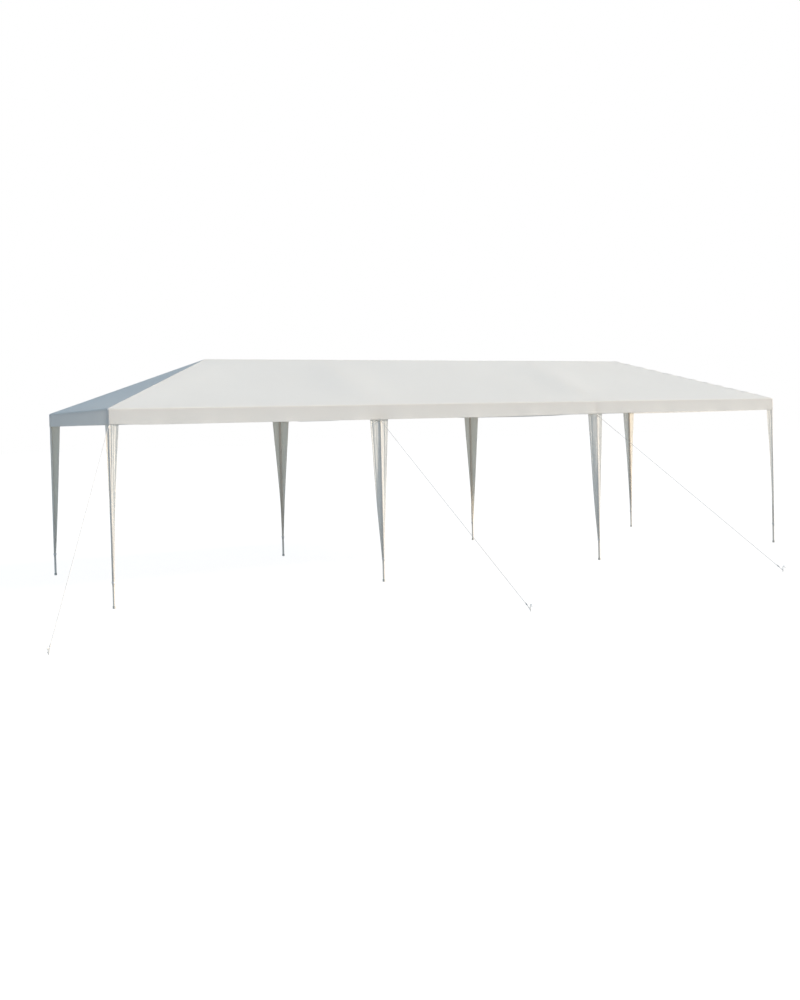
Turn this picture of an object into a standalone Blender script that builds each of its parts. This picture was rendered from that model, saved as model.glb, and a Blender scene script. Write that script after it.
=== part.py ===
# Marquee tent, open on all sides: a hipped sheet roof with a valance, on a frame of steel tubes.
# It is three bays long and one bay wide, with a leg, a connector and a drape at each bay line,
# and three taut guy ropes that run from the front legs to pegs in the ground.
#
# Units are metres and +Z is up. The origin is the centre of the underside of the front left
# leg's foot. +X runs along the front eave, +Y runs to the back, and the ground is Z = 0.

import math

import bmesh
import bpy
from mathutils import Vector

# Cover, over its outer faces
COVER_LENGTH = 9.144
COVER_WIDTH = 3.048
EAVE_HEIGHT = 1.995
PEAK_HEIGHT = 2.590
VALANCE_DROP = 0.154
COVER_THICKNESS = 0.003
BAYS = 3

# Frame
TUBE_RADIUS = 0.0127
CONNECTOR_RADIUS = 0.0150
ARM_LENGTH = 0.085
SOCKET_DEPTH = 0.045
FOOT_RADIUS = 0.0160
FOOT_HEIGHT = 0.028
FOOT_CHAMFER = 0.002
ROUND_SIDES = 12

# Leg drapes
DRAPE_THICKNESS = 0.002
DRAPE_WING_TOP = 0.130
DRAPE_TOP_Z = 1.895
DRAPE_BOTTOM_Z = 0.230
DRAPE_FLAT = 0.014
DRAPE_SWEEP = math.radians(30)
DRAPE_WING_END = 0.010

# Guy ropes and pegs. Each rope has a leg number on the front side, and its peg stands at
# this distance from that leg, along the eave and out from it.
ROPE_RADIUS = 0.0025
ROPE_TOP_Z = 1.825
ROPE_PEG_Z = 0.034
ROPES = (
    (1, Vector((-0.995, -1.960, 0))),
    (2, Vector((0.212, -2.569, 0))),
    (3, Vector((0.912, -2.127, 0))),
)
PEG_RADIUS = 0.004
PEG_SHANK = 0.056
PEG_BEND = 0.012
PEG_TIP = 0.010
PEG_BEND_STEPS = 8

# Space left between touching pieces, and the distance under which a profile's points merge
GAP = 0.0003
MERGE_DISTANCE = 0.0001

QUARTER_TURN = math.radians(90)
SHARP_ANGLE = math.radians(40)

# What follows from the sizes above. The tubes' axes meet at points that lie this far inside
# the cover's outer faces, so that the cover rests on the connectors.
INSET = CONNECTOR_RADIUS + GAP + COVER_THICKNESS
FRAME_LENGTH = COVER_LENGTH - 2 * INSET
FRAME_WIDTH = COVER_WIDTH - 2 * INSET
MIDDLE_Y = FRAME_WIDTH / 2
SLOPE = (PEAK_HEIGHT - EAVE_HEIGHT) / (COVER_WIDTH / 2)
SLANT = math.sqrt(1 + SLOPE ** 2)
EAVE_Z = EAVE_HEIGHT + INSET * SLOPE - INSET * SLANT
RIDGE_Z = PEAK_HEIGHT - INSET * SLANT
HEM_Z = EAVE_HEIGHT - VALANCE_DROP
SOCKET_FLOOR = ARM_LENGTH - SOCKET_DEPTH
LEG_FACE = TUBE_RADIUS + GAP

MID_LINES = [bay * COVER_LENGTH / BAYS - INSET for bay in range(1, BAYS)]
LEG_LINES = [0.0, *MID_LINES, FRAME_LENGTH]
RIDGE_LINES = [MIDDLE_Y, *MID_LINES, FRAME_LENGTH - MIDDLE_Y]
SIDES = {"front": 0.0, "back": FRAME_WIDTH}
LAST = BAYS

# Quarter turns, from the front left corner, of what repeats at the corners
CORNER_TURNS = {("front", 0): 0, ("front", LAST): 1, ("back", LAST): 2, ("back", 0): 3}

MATERIALS = {
    "tube_steel": ((0.74, 0.75, 0.75, 1), 0.38, 0.0),
    "connector_steel": ((0.70, 0.71, 0.71, 1), 0.42, 0.0),
    "cover_sheet": ((0.84, 0.85, 0.84, 1), 0.55, 0.0),
    "drape_sheet": ((0.80, 0.82, 0.81, 1), 0.58, 0.0),
    "rope_fibre": ((0.72, 0.73, 0.71, 1), 0.80, 0.0),
    "peg_steel": ((0.52, 0.53, 0.54, 1), 0.35, 1.0),
}


def clear_scene():
    """Start from an empty file."""
    for old in list(bpy.data.objects):
        bpy.data.objects.remove(old, do_unlink=True)


def make_collection(name):
    """A new collection under the scene's own."""
    made = bpy.data.collections.new(name)
    bpy.context.scene.collection.children.link(made)
    return made


def make_materials():
    """One Principled BSDF material for each finish."""
    made = {}
    for name, (colour, roughness, metallic) in MATERIALS.items():
        material = bpy.data.materials.new(name)
        material.use_nodes = True
        shader = material.node_tree.nodes["Principled BSDF"]
        shader.inputs["Base Color"].default_value = colour
        shader.inputs["Roughness"].default_value = roughness
        shader.inputs["Metallic"].default_value = metallic
        material.diffuse_color = colour
        made[name] = material
    return made


def add_piece(name, data, finish, location=(0, 0, 0), turn=0.0):
    """A named object for one piece, turned about Z and put in its place."""
    if not data.materials:
        data.materials.append(FINISHES[finish])
    piece = bpy.data.objects.new(name, data)
    TENT.objects.link(piece)
    piece.location = location
    piece.rotation_euler.z = turn
    return piece


def smooth(mesh):
    """Round faces are shaded smooth and steep edges stay sharp."""
    mesh.shade_smooth()
    mesh.set_sharp_from_angle(angle=SHARP_ANGLE)
    return mesh


def cylinder_mesh(name, radius, length):
    """A closed cylinder along Z, centred on its own origin."""
    shape = bmesh.new()
    bmesh.ops.create_cone(
        shape,
        cap_ends=True,
        segments=ROUND_SIDES,
        radius1=radius,
        radius2=radius,
        depth=length,
    )
    mesh = bpy.data.meshes.new(name)
    shape.to_mesh(mesh)
    shape.free()
    return smooth(mesh)


def temporary_rod(radius, start, end):
    """A cylinder between two points, which a connector is joined with or cut by."""
    rod = bpy.data.objects.new("rod", cylinder_mesh("rod", radius, (end - start).length))
    CUTTERS.objects.link(rod)
    rod.location = (start + end) / 2
    rod.rotation_euler = (end - start).to_track_quat("Z", "Y").to_euler()
    rod.hide_render = True
    rod.display_type = "WIRE"
    return rod


def connector_mesh(name, directions):
    """A ball with one socket arm along each direction, joined and bored by Booleans."""
    ball = bmesh.new()
    bmesh.ops.create_uvsphere(
        ball, u_segments=ROUND_SIDES, v_segments=ROUND_SIDES // 2, radius=CONNECTOR_RADIUS
    )
    mesh = bpy.data.meshes.new(name)
    ball.to_mesh(mesh)
    ball.free()
    hub = bpy.data.objects.new(name, mesh)
    CUTTERS.objects.link(hub)

    arms = [temporary_rod(CONNECTOR_RADIUS, Vector(), d * ARM_LENGTH) for d in directions]
    mouth = ARM_LENGTH + SOCKET_DEPTH
    bores = [temporary_rod(LEG_FACE, d * SOCKET_FLOOR, d * mouth) for d in directions]
    for operation, rods in (("UNION", arms), ("DIFFERENCE", bores)):
        for rod in rods:
            cut = hub.modifiers.new(operation.lower(), "BOOLEAN")
            cut.operation = operation
            cut.solver = "EXACT"
            cut.object = rod

    graph = bpy.context.evaluated_depsgraph_get()
    joined = bpy.data.meshes.new_from_object(hub.evaluated_get(graph))
    joined.name = name
    for used in [hub, *arms, *bores]:
        bpy.data.objects.remove(used, do_unlink=True)
    return smooth(joined)


def toward(start, end):
    """The direction from one point to another."""
    return (end - start).normalized()


def eave_point(line, side):
    """Where the tubes' axes meet on top of a leg."""
    return Vector((LEG_LINES[line], SIDES[side], EAVE_Z))


def ridge_point(line):
    """Where the tubes' axes meet on the ridge."""
    return Vector((RIDGE_LINES[line], MIDDLE_Y, RIDGE_Z))


def add_pole(name, start, end):
    """A tube between two meeting points, with its ends in the sockets there."""
    along = toward(start, end)
    inside = along * (SOCKET_FLOOR + GAP)
    first, last = start + inside, end - inside
    pole = add_piece(name, cylinder_mesh(name, TUBE_RADIUS, (last - first).length), "tube_steel")
    pole.location = (first + last) / 2
    pole.rotation_euler = along.to_track_quat("Z", "Y").to_euler()
    return pole


def leg_mesh():
    """A leg with its foot, turned from one profile that runs down the outer side."""
    top = EAVE_Z - SOCKET_FLOOR - GAP
    profile = [
        (0, top),
        (TUBE_RADIUS, top),
        (TUBE_RADIUS, FOOT_HEIGHT),
        (FOOT_RADIUS - FOOT_CHAMFER, FOOT_HEIGHT),
        (FOOT_RADIUS, FOOT_HEIGHT - FOOT_CHAMFER),
        (FOOT_RADIUS, FOOT_CHAMFER),
        (FOOT_RADIUS - FOOT_CHAMFER, 0),
        (0, 0),
    ]
    mesh = bpy.data.meshes.new("leg")
    edges = [(step, step + 1) for step in range(len(profile) - 1)]
    mesh.from_pydata([(x, 0, z) for x, z in profile], edges, [])
    return mesh


def add_leg(name, mesh, line, side):
    """One leg, turned round its own axis by a Screw."""
    leg = add_piece(name, mesh, "tube_steel", (LEG_LINES[line], SIDES[side], 0))
    turning = leg.modifiers.new("turned", "SCREW")
    turning.axis = "Z"
    turning.steps = ROUND_SIDES
    turning.render_steps = ROUND_SIDES
    turning.use_merge_vertices = True
    turning.merge_threshold = MERGE_DISTANCE
    turning.use_smooth_shade = False
    return leg


def panel_section(top_run):
    """A slope and its valance in section: pairs of distance in from the cover's face and height."""
    under = COVER_THICKNESS * SLANT
    return [
        (0, HEM_Z),
        (COVER_THICKNESS, HEM_Z),
        (COVER_THICKNESS, EAVE_HEIGHT + COVER_THICKNESS * SLOPE - under),
        (top_run, EAVE_HEIGHT + top_run * SLOPE - under),
        (top_run, EAVE_HEIGHT + top_run * SLOPE),
        (0, EAVE_HEIGHT),
    ]


def add_panel(name, length, top_run, location, turn):
    """One panel of the cover. Its section is lofted along the eave, and each end is mitred
    at 45 degrees in plan, which follows the hip."""
    section = panel_section(top_run)
    shape = bmesh.new()
    rings = []
    for end in (-1, 1):
        half = length / 2 - GAP
        rings.append([shape.verts.new((end * (half - run), run, z)) for run, z in section])
    shape.faces.new(reversed(rings[0]))
    shape.faces.new(rings[1])
    for here in range(len(section)):
        after = (here + 1) % len(section)
        shape.faces.new((rings[0][here], rings[0][after], rings[1][after], rings[1][here]))
    mesh = bpy.data.meshes.new(name)
    shape.to_mesh(mesh)
    shape.free()
    return add_piece(name, mesh, "cover_sheet", location, turn)


def add_canopy():
    """The four panels of the cover. The ends' tops stop just short of the ridge."""
    long_top = COVER_WIDTH / 2 - GAP / 2
    end_top = COVER_WIDTH / 2 - COVER_THICKNESS
    middle_x = FRAME_LENGTH / 2
    back, right = FRAME_WIDTH + INSET, FRAME_LENGTH + INSET
    add_panel("canopy_front", COVER_LENGTH, long_top, (middle_x, -INSET, 0), 0)
    add_panel("canopy_back", COVER_LENGTH, long_top, (middle_x, back, 0), 2 * QUARTER_TURN)
    add_panel("canopy_left_end", COVER_WIDTH, end_top, (-INSET, MIDDLE_Y, 0), -QUARTER_TURN)
    add_panel("canopy_right_end", COVER_WIDTH, end_top, (right, MIDDLE_Y, 0), QUARTER_TURN)


def drape_outline(corner, wing):
    """A drape's inner face in plan, from its left edge to its right edge, about the leg's axis.
    At a corner it wraps the two outer faces, and elsewhere its wings sweep back from the leg."""
    if corner:
        fold = Vector((-LEG_FACE, -LEG_FACE))
        return [fold + Vector((0, wing)), fold, fold + Vector((wing, 0))]
    back = Vector((math.cos(DRAPE_SWEEP), math.sin(DRAPE_SWEEP))) * wing
    right = Vector((DRAPE_FLAT / 2, -LEG_FACE))
    left = Vector((-DRAPE_FLAT / 2, -LEG_FACE))
    return [left + Vector((-back.x, back.y)), left, right, right + back]


def drape_mesh(name, corner):
    """An open sheet that narrows from under the valance down to the leg."""
    last_wing = 2 * LEG_FACE if corner else DRAPE_WING_END
    shape = bmesh.new()
    rows = []
    for wing, z in ((DRAPE_WING_TOP, DRAPE_TOP_Z), (last_wing, DRAPE_BOTTOM_Z)):
        rows.append([shape.verts.new((p.x, p.y, z)) for p in drape_outline(corner, wing)])
    for here in range(len(rows[0]) - 1):
        top, bottom = rows
        shape.faces.new((top[here], bottom[here], bottom[here + 1], top[here + 1]))
    mesh = bpy.data.meshes.new(name)
    shape.to_mesh(mesh)
    shape.free()
    return mesh


def add_drape(name, mesh, line, side, turn):
    """One drape, with its thickness added on the outer face."""
    drape = add_piece(name, mesh, "drape_sheet", (LEG_LINES[line], SIDES[side], 0), turn)
    skin = drape.modifiers.new("thickness", "SOLIDIFY")
    skin.thickness = DRAPE_THICKNESS
    skin.offset = 1
    skin.use_even_offset = True
    return drape


def add_wire(name, points, radius, finish):
    """A round wire through the points, with filled caps."""
    curve = bpy.data.curves.new(name, "CURVE")
    curve.dimensions = "3D"
    curve.bevel_depth = radius
    curve.bevel_resolution = 2
    curve.use_fill_caps = True
    spline = curve.splines.new("POLY")
    spline.points.add(len(points) - 1)
    for slot, point in zip(spline.points, points):
        slot.co = (*point, 1)
    return add_piece(name, curve, finish)


def rope_ends(line, reach):
    """A rope's two end points. It starts in front of its leg's drape and stops at its peg.
    Each end stands off by the gap and by what its slanted rim reaches past its centre."""
    leg = Vector((LEG_LINES[line - 1], SIDES["front"], 0))
    peg = leg + reach
    slant = toward(peg + Vector((0, 0, ROPE_PEG_Z)), leg + Vector((0, 0, ROPE_TOP_Z)))
    face = LEG_FACE + DRAPE_THICKNESS
    top = leg + Vector((-face if line == 1 else 0, -face, ROPE_TOP_Z))
    top.y -= GAP + ROPE_RADIUS * math.sqrt(1 - slant.y ** 2)
    inward = toward(peg, Vector((top.x, top.y, 0)))
    low = peg + inward * (PEG_RADIUS + GAP + ROPE_RADIUS * slant.z)
    low.z = ROPE_PEG_Z
    return top, low, peg, inward


def peg_points(peg, inward):
    """A peg's line above the ground: a straight shank and a hook bent over, away from the tent."""
    points = [peg, peg + Vector((0, 0, PEG_SHANK))]
    for step in range(1, PEG_BEND_STEPS + 1):
        angle = math.pi * step / PEG_BEND_STEPS
        over = -inward * PEG_BEND * (1 - math.cos(angle))
        points.append(peg + over + Vector((0, 0, PEG_SHANK + PEG_BEND * math.sin(angle))))
    points.append(points[-1] - Vector((0, 0, PEG_TIP)))
    return points


def add_ropes_and_pegs():
    """The taut ropes of the front side, each with its own peg."""
    for number, (line, reach) in enumerate(ROPES, start=1):
        top, low, peg, inward = rope_ends(line, reach)
        add_wire(f"guy_rope_{number}", [top, low], ROPE_RADIUS, "rope_fibre")
        add_wire(f"peg_{number}", peg_points(peg, inward), PEG_RADIUS, "peg_steel")


def turned_kind(line, side):
    """Whether a leg stands at a corner, and the turn that its drape and connector have there."""
    if (side, line) in CORNER_TURNS:
        return "corner", CORNER_TURNS[side, line] * QUARTER_TURN
    return "side", 0.0 if side == "front" else 2 * QUARTER_TURN


def add_legs_and_drapes():
    """The legs on both long sides, and the drape in front of each of them."""
    leg = leg_mesh()
    drapes = {kind: drape_mesh(f"{kind}_drape", kind == "corner") for kind in ("corner", "side")}
    for side in SIDES:
        for line in range(len(LEG_LINES)):
            kind, turn = turned_kind(line, side)
            add_leg(f"leg_{side}_{line + 1}", leg, line, side)
            add_drape(f"drape_{side}_{line + 1}", drapes[kind], line, side, turn)


def add_connectors():
    """The sockets where tubes meet. Like ones share a mesh, which is turned to suit its place."""
    down = Vector((0, 0, -1))
    right, left = Vector((1, 0, 0)), Vector((-1, 0, 0))
    inward = Vector((0, 1, 0))
    hip = toward(eave_point(0, "front"), ridge_point(0))
    rise = toward(eave_point(1, "front"), ridge_point(1))
    joints = {
        "corner": connector_mesh("corner_connector", [down, right, inward, hip]),
        "side": connector_mesh("side_connector", [down, right, left, rise]),
    }
    for side in SIDES:
        for line in range(len(LEG_LINES)):
            kind, turn = turned_kind(line, side)
            place = eave_point(line, side)
            add_piece(f"connector_{side}_{line + 1}", joints[kind], "connector_steel", place, turn)

    hip_to_back = Vector((-hip.x, hip.y, -hip.z))
    fall_to_back = Vector((0, rise.y, -rise.z))
    ridge_end = connector_mesh("ridge_end_connector", [right, -hip, hip_to_back])
    ridge_mid = connector_mesh("ridge_mid_connector", [right, left, -rise, fall_to_back])
    for line in range(len(RIDGE_LINES)):
        mesh = ridge_end if line in (0, LAST) else ridge_mid
        turn = 2 * QUARTER_TURN if line == LAST else 0.0
        add_piece(f"connector_ridge_{line + 1}", mesh, "connector_steel", ridge_point(line), turn)


def add_poles():
    """The tubes along the eaves and the ridge, and the sloping ones under the roof."""
    for side in SIDES:
        for bay in range(BAYS):
            name = f"eave_pole_{side}_{bay + 1}"
            add_pole(name, eave_point(bay, side), eave_point(bay + 1, side))
        for line in range(1, LAST):
            add_pole(f"rafter_{side}_{line}", eave_point(line, side), ridge_point(line))
        add_pole(f"hip_pole_{side}_left", eave_point(0, side), ridge_point(0))
        add_pole(f"hip_pole_{side}_right", eave_point(LAST, side), ridge_point(LAST))
    for end, line in (("left", 0), ("right", LAST)):
        add_pole(f"eave_pole_{end}_end", eave_point(line, "front"), eave_point(line, "back"))
    for bay in range(BAYS):
        add_pole(f"ridge_pole_{bay + 1}", ridge_point(bay), ridge_point(bay + 1))


clear_scene()
TENT = make_collection("marquee_tent")
CUTTERS = make_collection("cutters")
FINISHES = make_materials()

add_legs_and_drapes()
add_connectors()
add_poles()
add_canopy()
add_ropes_and_pegs()
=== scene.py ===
# %% [markdown]
# # Dressing a marquee tent
# The tent stands on a frame of thin steel tubes. Its roof is one sewn sheet with a valance all
# round, each leg wears a tapered skirt of the same sheeting, and three taut ropes run to pegs.
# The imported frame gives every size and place, so each cell below starts from it: the tubes and
# sockets stay as they come and get a finish, and the cloth, the ropes and the pegs are made anew.

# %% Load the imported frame
import math

import bmesh
import bpy
from mathutils import Matrix, Vector, noise


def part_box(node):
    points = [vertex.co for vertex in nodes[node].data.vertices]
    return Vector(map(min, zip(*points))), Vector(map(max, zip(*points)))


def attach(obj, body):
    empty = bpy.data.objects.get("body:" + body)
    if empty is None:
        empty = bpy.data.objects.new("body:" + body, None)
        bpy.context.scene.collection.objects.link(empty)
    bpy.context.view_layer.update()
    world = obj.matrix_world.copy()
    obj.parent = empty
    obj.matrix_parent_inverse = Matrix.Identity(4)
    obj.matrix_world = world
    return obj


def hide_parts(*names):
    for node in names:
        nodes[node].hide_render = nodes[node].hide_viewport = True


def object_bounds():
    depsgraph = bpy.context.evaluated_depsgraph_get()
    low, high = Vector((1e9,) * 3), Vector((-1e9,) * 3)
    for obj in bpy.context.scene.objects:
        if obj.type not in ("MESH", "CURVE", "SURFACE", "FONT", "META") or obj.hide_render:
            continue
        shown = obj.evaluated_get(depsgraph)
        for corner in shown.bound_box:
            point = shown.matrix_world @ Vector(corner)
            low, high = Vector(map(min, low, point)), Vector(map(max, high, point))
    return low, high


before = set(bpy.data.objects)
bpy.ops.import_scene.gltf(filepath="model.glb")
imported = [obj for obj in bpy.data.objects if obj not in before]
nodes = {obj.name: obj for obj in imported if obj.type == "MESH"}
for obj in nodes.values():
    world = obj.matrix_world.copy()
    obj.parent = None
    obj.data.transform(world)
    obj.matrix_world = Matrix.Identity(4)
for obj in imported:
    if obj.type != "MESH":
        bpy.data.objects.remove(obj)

cad_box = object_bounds()
print("nodes:", len(nodes), "box:", [round(v, 3) for corner in cad_box for v in corner])

# %% [markdown]
# ## Where things are
# The tubes' axes and the eave height fix everything else, so they are read from the frame or
# repeated here in metres. The legs stand on two long sides, front and back, in four lines.

# %% Sizes that the pieces share
SIDES = ("front", "back")
LINES = (1, 2, 3, 4)
X, Y, Z = Vector((1, 0, 0)), Vector((0, 1, 0)), Vector((0, 0, 1))


def middle(node):
    """The middle of a frame node's box."""
    low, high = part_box(node)
    return (low + high) / 2


def foot_of(side, line):
    """Where a leg's axis meets the floor."""
    return Vector((LEG_X[line - 1], LEG_Y[side], 0))


LEG_X = [middle(f"leg_front_{line}").x for line in LINES]
LEG_Y = {side: middle(f"leg_{side}_1").y for side in SIDES}
COVER_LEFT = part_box("canopy_left_end")[0].x
COVER_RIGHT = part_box("canopy_right_end")[1].x
COVER_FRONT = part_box("canopy_front")[0].y
COVER_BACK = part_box("canopy_back")[1].y
HEM_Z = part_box("canopy_front")[0].z
PEAK_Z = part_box("canopy_front")[1].z
EAVE_HEIGHT = 1.995
TUBE_RADIUS = 0.0127
COVER_LENGTH = COVER_RIGHT - COVER_LEFT
COVER_WIDTH = COVER_BACK - COVER_FRONT
HALF_WIDTH = COVER_WIDTH / 2
SLOPE = (PEAK_Z - EAVE_HEIGHT) / HALF_WIDTH
SLANT = math.sqrt(1 + SLOPE ** 2)
print("cover", round(COVER_LENGTH, 4), "by", round(COVER_WIDTH, 4), "slope", round(SLOPE, 4))

# %% [markdown]
# ## The camera
# The picture was taken from the left of the front, a little under the eave. The camera is placed
# by its own right, up and forward directions, with a small shift of the frame.

# %% Camera
def add_object(name, data):
    """A new object in the scene."""
    made = bpy.data.objects.new(name, data)
    bpy.context.scene.collection.objects.link(made)
    return made


CAMERA_PLACE = Vector((-2.5963, -11.0313, 1.790))
CAMERA_YAW = math.radians(28.022)
CAMERA_PITCH = math.radians(-1.439)
CAMERA_ROLL = math.radians(-1.397)

forward = Vector((
    math.sin(CAMERA_YAW) * math.cos(CAMERA_PITCH),
    math.cos(CAMERA_YAW) * math.cos(CAMERA_PITCH),
    math.sin(CAMERA_PITCH),
))
level = Vector((math.cos(CAMERA_YAW), -math.sin(CAMERA_YAW), 0))
upright = level.cross(forward)
right = level * math.cos(CAMERA_ROLL) + upright * math.sin(CAMERA_ROLL)
up = upright * math.cos(CAMERA_ROLL) - level * math.sin(CAMERA_ROLL)

camera_data = bpy.data.cameras.new("camera")
camera_data.lens = 39.648
camera_data.shift_y = -0.05
camera_data.clip_end = 500
camera = add_object("camera", camera_data)
turned = Matrix((right, up, -forward)).transposed().to_4x4()
camera.matrix_world = Matrix.Translation(CAMERA_PLACE) @ turned
bpy.context.scene.camera = camera
bpy.context.scene.view_settings.view_transform = "Standard"
print("camera at", [round(v, 3) for v in CAMERA_PLACE])

# %% [markdown]
# ## Light and floor
# The tent is lit by a low warm sun from the front right and a pale blue sky, which is why its left
# end is blue grey. A product picture has a clean white ground, so the floor and the sky are
# white to the camera, while the cloth gets the light of a softer sky and a darker floor.


# %% A small kit for materials
class Value:
    """An output of a shader node. Sums and products on it add Math nodes."""

    def __init__(self, finish, socket):
        self.finish = finish
        self.socket = socket

    def math(self, operation, *others):
        return self.finish.node("ShaderNodeMath", {"operation": operation}, [self, *others])

    def __add__(self, other):
        return self.math("ADD", other)

    def __mul__(self, other):
        return self.math("MULTIPLY", other)

    __radd__ = __add__
    __rmul__ = __mul__


class Finish:
    """A material, or the world, and one way of adding any node to it."""

    def __init__(self, name, world=False):
        kind = bpy.data.worlds if world else bpy.data.materials
        self.made = kind.new(name)
        self.made.use_nodes = True
        self.tree = self.made.node_tree
        self.output = self.tree.nodes["World Output" if world else "Material Output"]
        self.shader = self.tree.nodes["Background" if world else "Principled BSDF"]
        self.place = self.node("ShaderNodeTexCoord", output="Object")

    def link(self, value, socket):
        """A number or colour is set on the socket, and an output is linked to it."""
        if isinstance(value, Value):
            self.tree.links.new(value.socket, socket)
        else:
            socket.default_value = value

    def node(self, kind, settings=None, inputs=(), output=0):
        """A new node. Its inputs are in order, or by name or number in a dictionary."""
        made = self.tree.nodes.new(kind)
        for name, value in (settings or {}).items():
            setattr(made, name, value)
        pairs = inputs.items() if isinstance(inputs, dict) else enumerate(inputs)
        for key, value in pairs:
            self.link(value, made.inputs[key])
        return Value(self, made.outputs[output])

    def mix(self, share, low, high):
        """A colour between two, by a share from 0 to 1."""
        return self.node("ShaderNodeMix", {"data_type": "RGBA"}, {0: share, 6: low, 7: high}, 2)

    def noise(self, scale, detail, **more):
        """Cloudy noise on the object's own coordinates. scale is in clouds per metre."""
        inputs = {"Vector": self.place, "Scale": scale, "Detail": detail, **more}
        return self.node("ShaderNodeTexNoise", inputs=inputs)

    def axis(self, vector, number):
        """One coordinate of a vector, by its number."""
        return self.node("ShaderNodeSeparateXYZ", inputs=[vector], output=number)

    def near_ground(self, top, low, most):
        """0 above the height top, rising to most at the height low."""
        span = {"Value": self.axis(self.place, 2), 1: top, 2: low, 3: 0.0, 4: most}
        return self.node("ShaderNodeMapRange", inputs=span)

    def bump(self, height, strength, distance, **below):
        """Fine relief, on top of another one if its Normal is given."""
        relief = {"Height": height, "Strength": strength, "Distance": distance, **below}
        return self.node("ShaderNodeBump", inputs=relief)

    def surface(self, **inputs):
        """Sets or links the shader's inputs, such as Base_Color."""
        for name, value in inputs.items():
            self.link(value, self.shader.inputs[name.replace("_", " ")])

    def end(self, share, second):
        """Shows the shader mixed with a second one, which gets the share."""
        own = Value(self, self.shader.outputs[0])
        both = self.node("ShaderNodeMixShader", inputs=[share, own, second])
        self.link(both, self.output.inputs["Surface"])


def grey(value, warmth=0.0):
    """A grey colour, a little warm or cool."""
    return (value * (1 + warmth), value, value * (1 - warmth), 1)


# %% Sky, sun and floor
SKY_LIGHT = (0.465, 0.605, 0.745, 1)
SUN_COLOUR = (1.0, 0.86, 0.70)
SUN_POWER = 5.75
SUN_FROM = Vector((0.875, -0.335, 0.345))
SUN_SOFTNESS = math.radians(9)
FLOOR_REACH = 80.0

world = Finish("studio_sky", world=True)
seen = world.node("ShaderNodeLightPath", output="Is Camera Ray")
world.surface(Color=SKY_LIGHT)
backdrop = world.node("ShaderNodeBackground", inputs={"Color": (1, 1, 1, 1)})
world.end(seen, backdrop)
bpy.context.scene.world = world.made

sun_data = bpy.data.lights.new("sun", "SUN")
sun_data.energy = SUN_POWER
sun_data.color = SUN_COLOUR
sun_data.angle = SUN_SOFTNESS
sun = add_object("sun", sun_data)
sun.rotation_euler = SUN_FROM.to_track_quat("Z", "Y").to_euler()
sun.location = SUN_FROM * 12

ground = Finish("studio_floor")
seen = ground.node("ShaderNodeLightPath", output="Is Camera Ray")
ground.surface(Base_Color=grey(0.36), Roughness=0.9, Specular_IOR_Level=0.0)
lit = ground.node("ShaderNodeBsdfDiffuse", inputs={"Color": grey(0.12)})
glow = ground.node("ShaderNodeEmission", inputs={"Color": grey(1.0), "Strength": 0.93})
ground.end(seen, ground.node("ShaderNodeAddShader", inputs=[lit, glow]))

floor_mesh = bpy.data.meshes.new("floor")
centre = (cad_box[0] + cad_box[1]) / 2
floor_corners = [
    (centre.x + a * FLOOR_REACH, centre.y + b * FLOOR_REACH, 0)
    for a, b in ((-1, -1), (1, -1), (1, 1), (-1, 1))
]
floor_mesh.from_pydata(floor_corners, [], [(0, 1, 2, 3)])
floor_mesh.materials.append(ground.made)
floor = add_object("floor", floor_mesh)
print("sun from", [round(v, 2) for v in SUN_FROM], "floor reaches", FLOOR_REACH, "m")

# %% [markdown]
# ## The sheeting
# Such covers are woven from flat white plastic ribbon and coated on both sides. Up close the
# ribbons cross like a basket; from afar the sheet is white, almost matt and lets some light
# through. That last part is what makes a sunlit skirt glow on its shaded side, so the finish
# mixes a Principled surface with a Translucent one. The weave follows a UV map in metres.


# %% Sheeting finish
RIBBON = 0.0028
LOW_TINT_COLOUR = (0.50, 0.47, 0.42, 1)


def sheeting(name, tone, warmth, passes, through, low_tint_height=0.0):
    """Coated woven sheet. passes is the share of light that it lets through, in the colour
    through, and the last argument is how far up from the ground it turns a little darker and
    warmer."""
    finish = Finish(name)
    woven = finish.node("ShaderNodeUVMap", {"uv_map": "cloth"})
    over, under = [(finish.axis(woven, n) * (2 * math.pi / RIBBON)).math("SINE") for n in (0, 1)]
    cloudy = finish.noise(0.9, 3.0)
    creased = finish.noise(7.0, 5.0, Roughness=0.6)
    shade = cloudy * 0.6 + creased * 0.4
    colour = finish.mix(shade, grey(tone, warmth - 0.004), grey(tone * 0.93, warmth + 0.004))
    # Towards the ground the sheet turns darker and warmer, in patches that follow the noise.
    if low_tint_height:
        low_tint = finish.near_ground(low_tint_height, 0.1, 0.6) * creased
        colour = finish.mix(low_tint, colour, LOW_TINT_COLOUR)
    weave = finish.bump(over * under, 0.25, 0.0003)
    finish.surface(
        Base_Color=colour,
        Roughness=0.52 + 0.16 * cloudy,
        Specular_IOR_Level=0.2,
        Normal=finish.bump(creased, 0.35, 0.004, Normal=weave),
    )
    finish.end(passes, finish.node("ShaderNodeBsdfTranslucent", inputs={"Color": through}))
    return finish.made


LOW_TINT_HEIGHT = 0.9
cover_finish = sheeting("cover_sheet", 0.915, 0.0, 0.55, (0.93, 0.91, 0.87, 1))
front_drape = sheeting("drape_sheet", 0.94, -0.035, 0.57, (0.98, 0.93, 0.84, 1), LOW_TINT_HEIGHT)
# The skirts in the roof's shade get a darker, warmer copy of the sheeting: painted shade.
painted_shade_drape = sheeting("drape_sheet_painted_shade", 0.89, 0.02, 0.52, (0.93, 0.90, 0.80, 1), LOW_TINT_HEIGHT)
print("ribbons", RIBBON * 1000, "mm wide")


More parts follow.
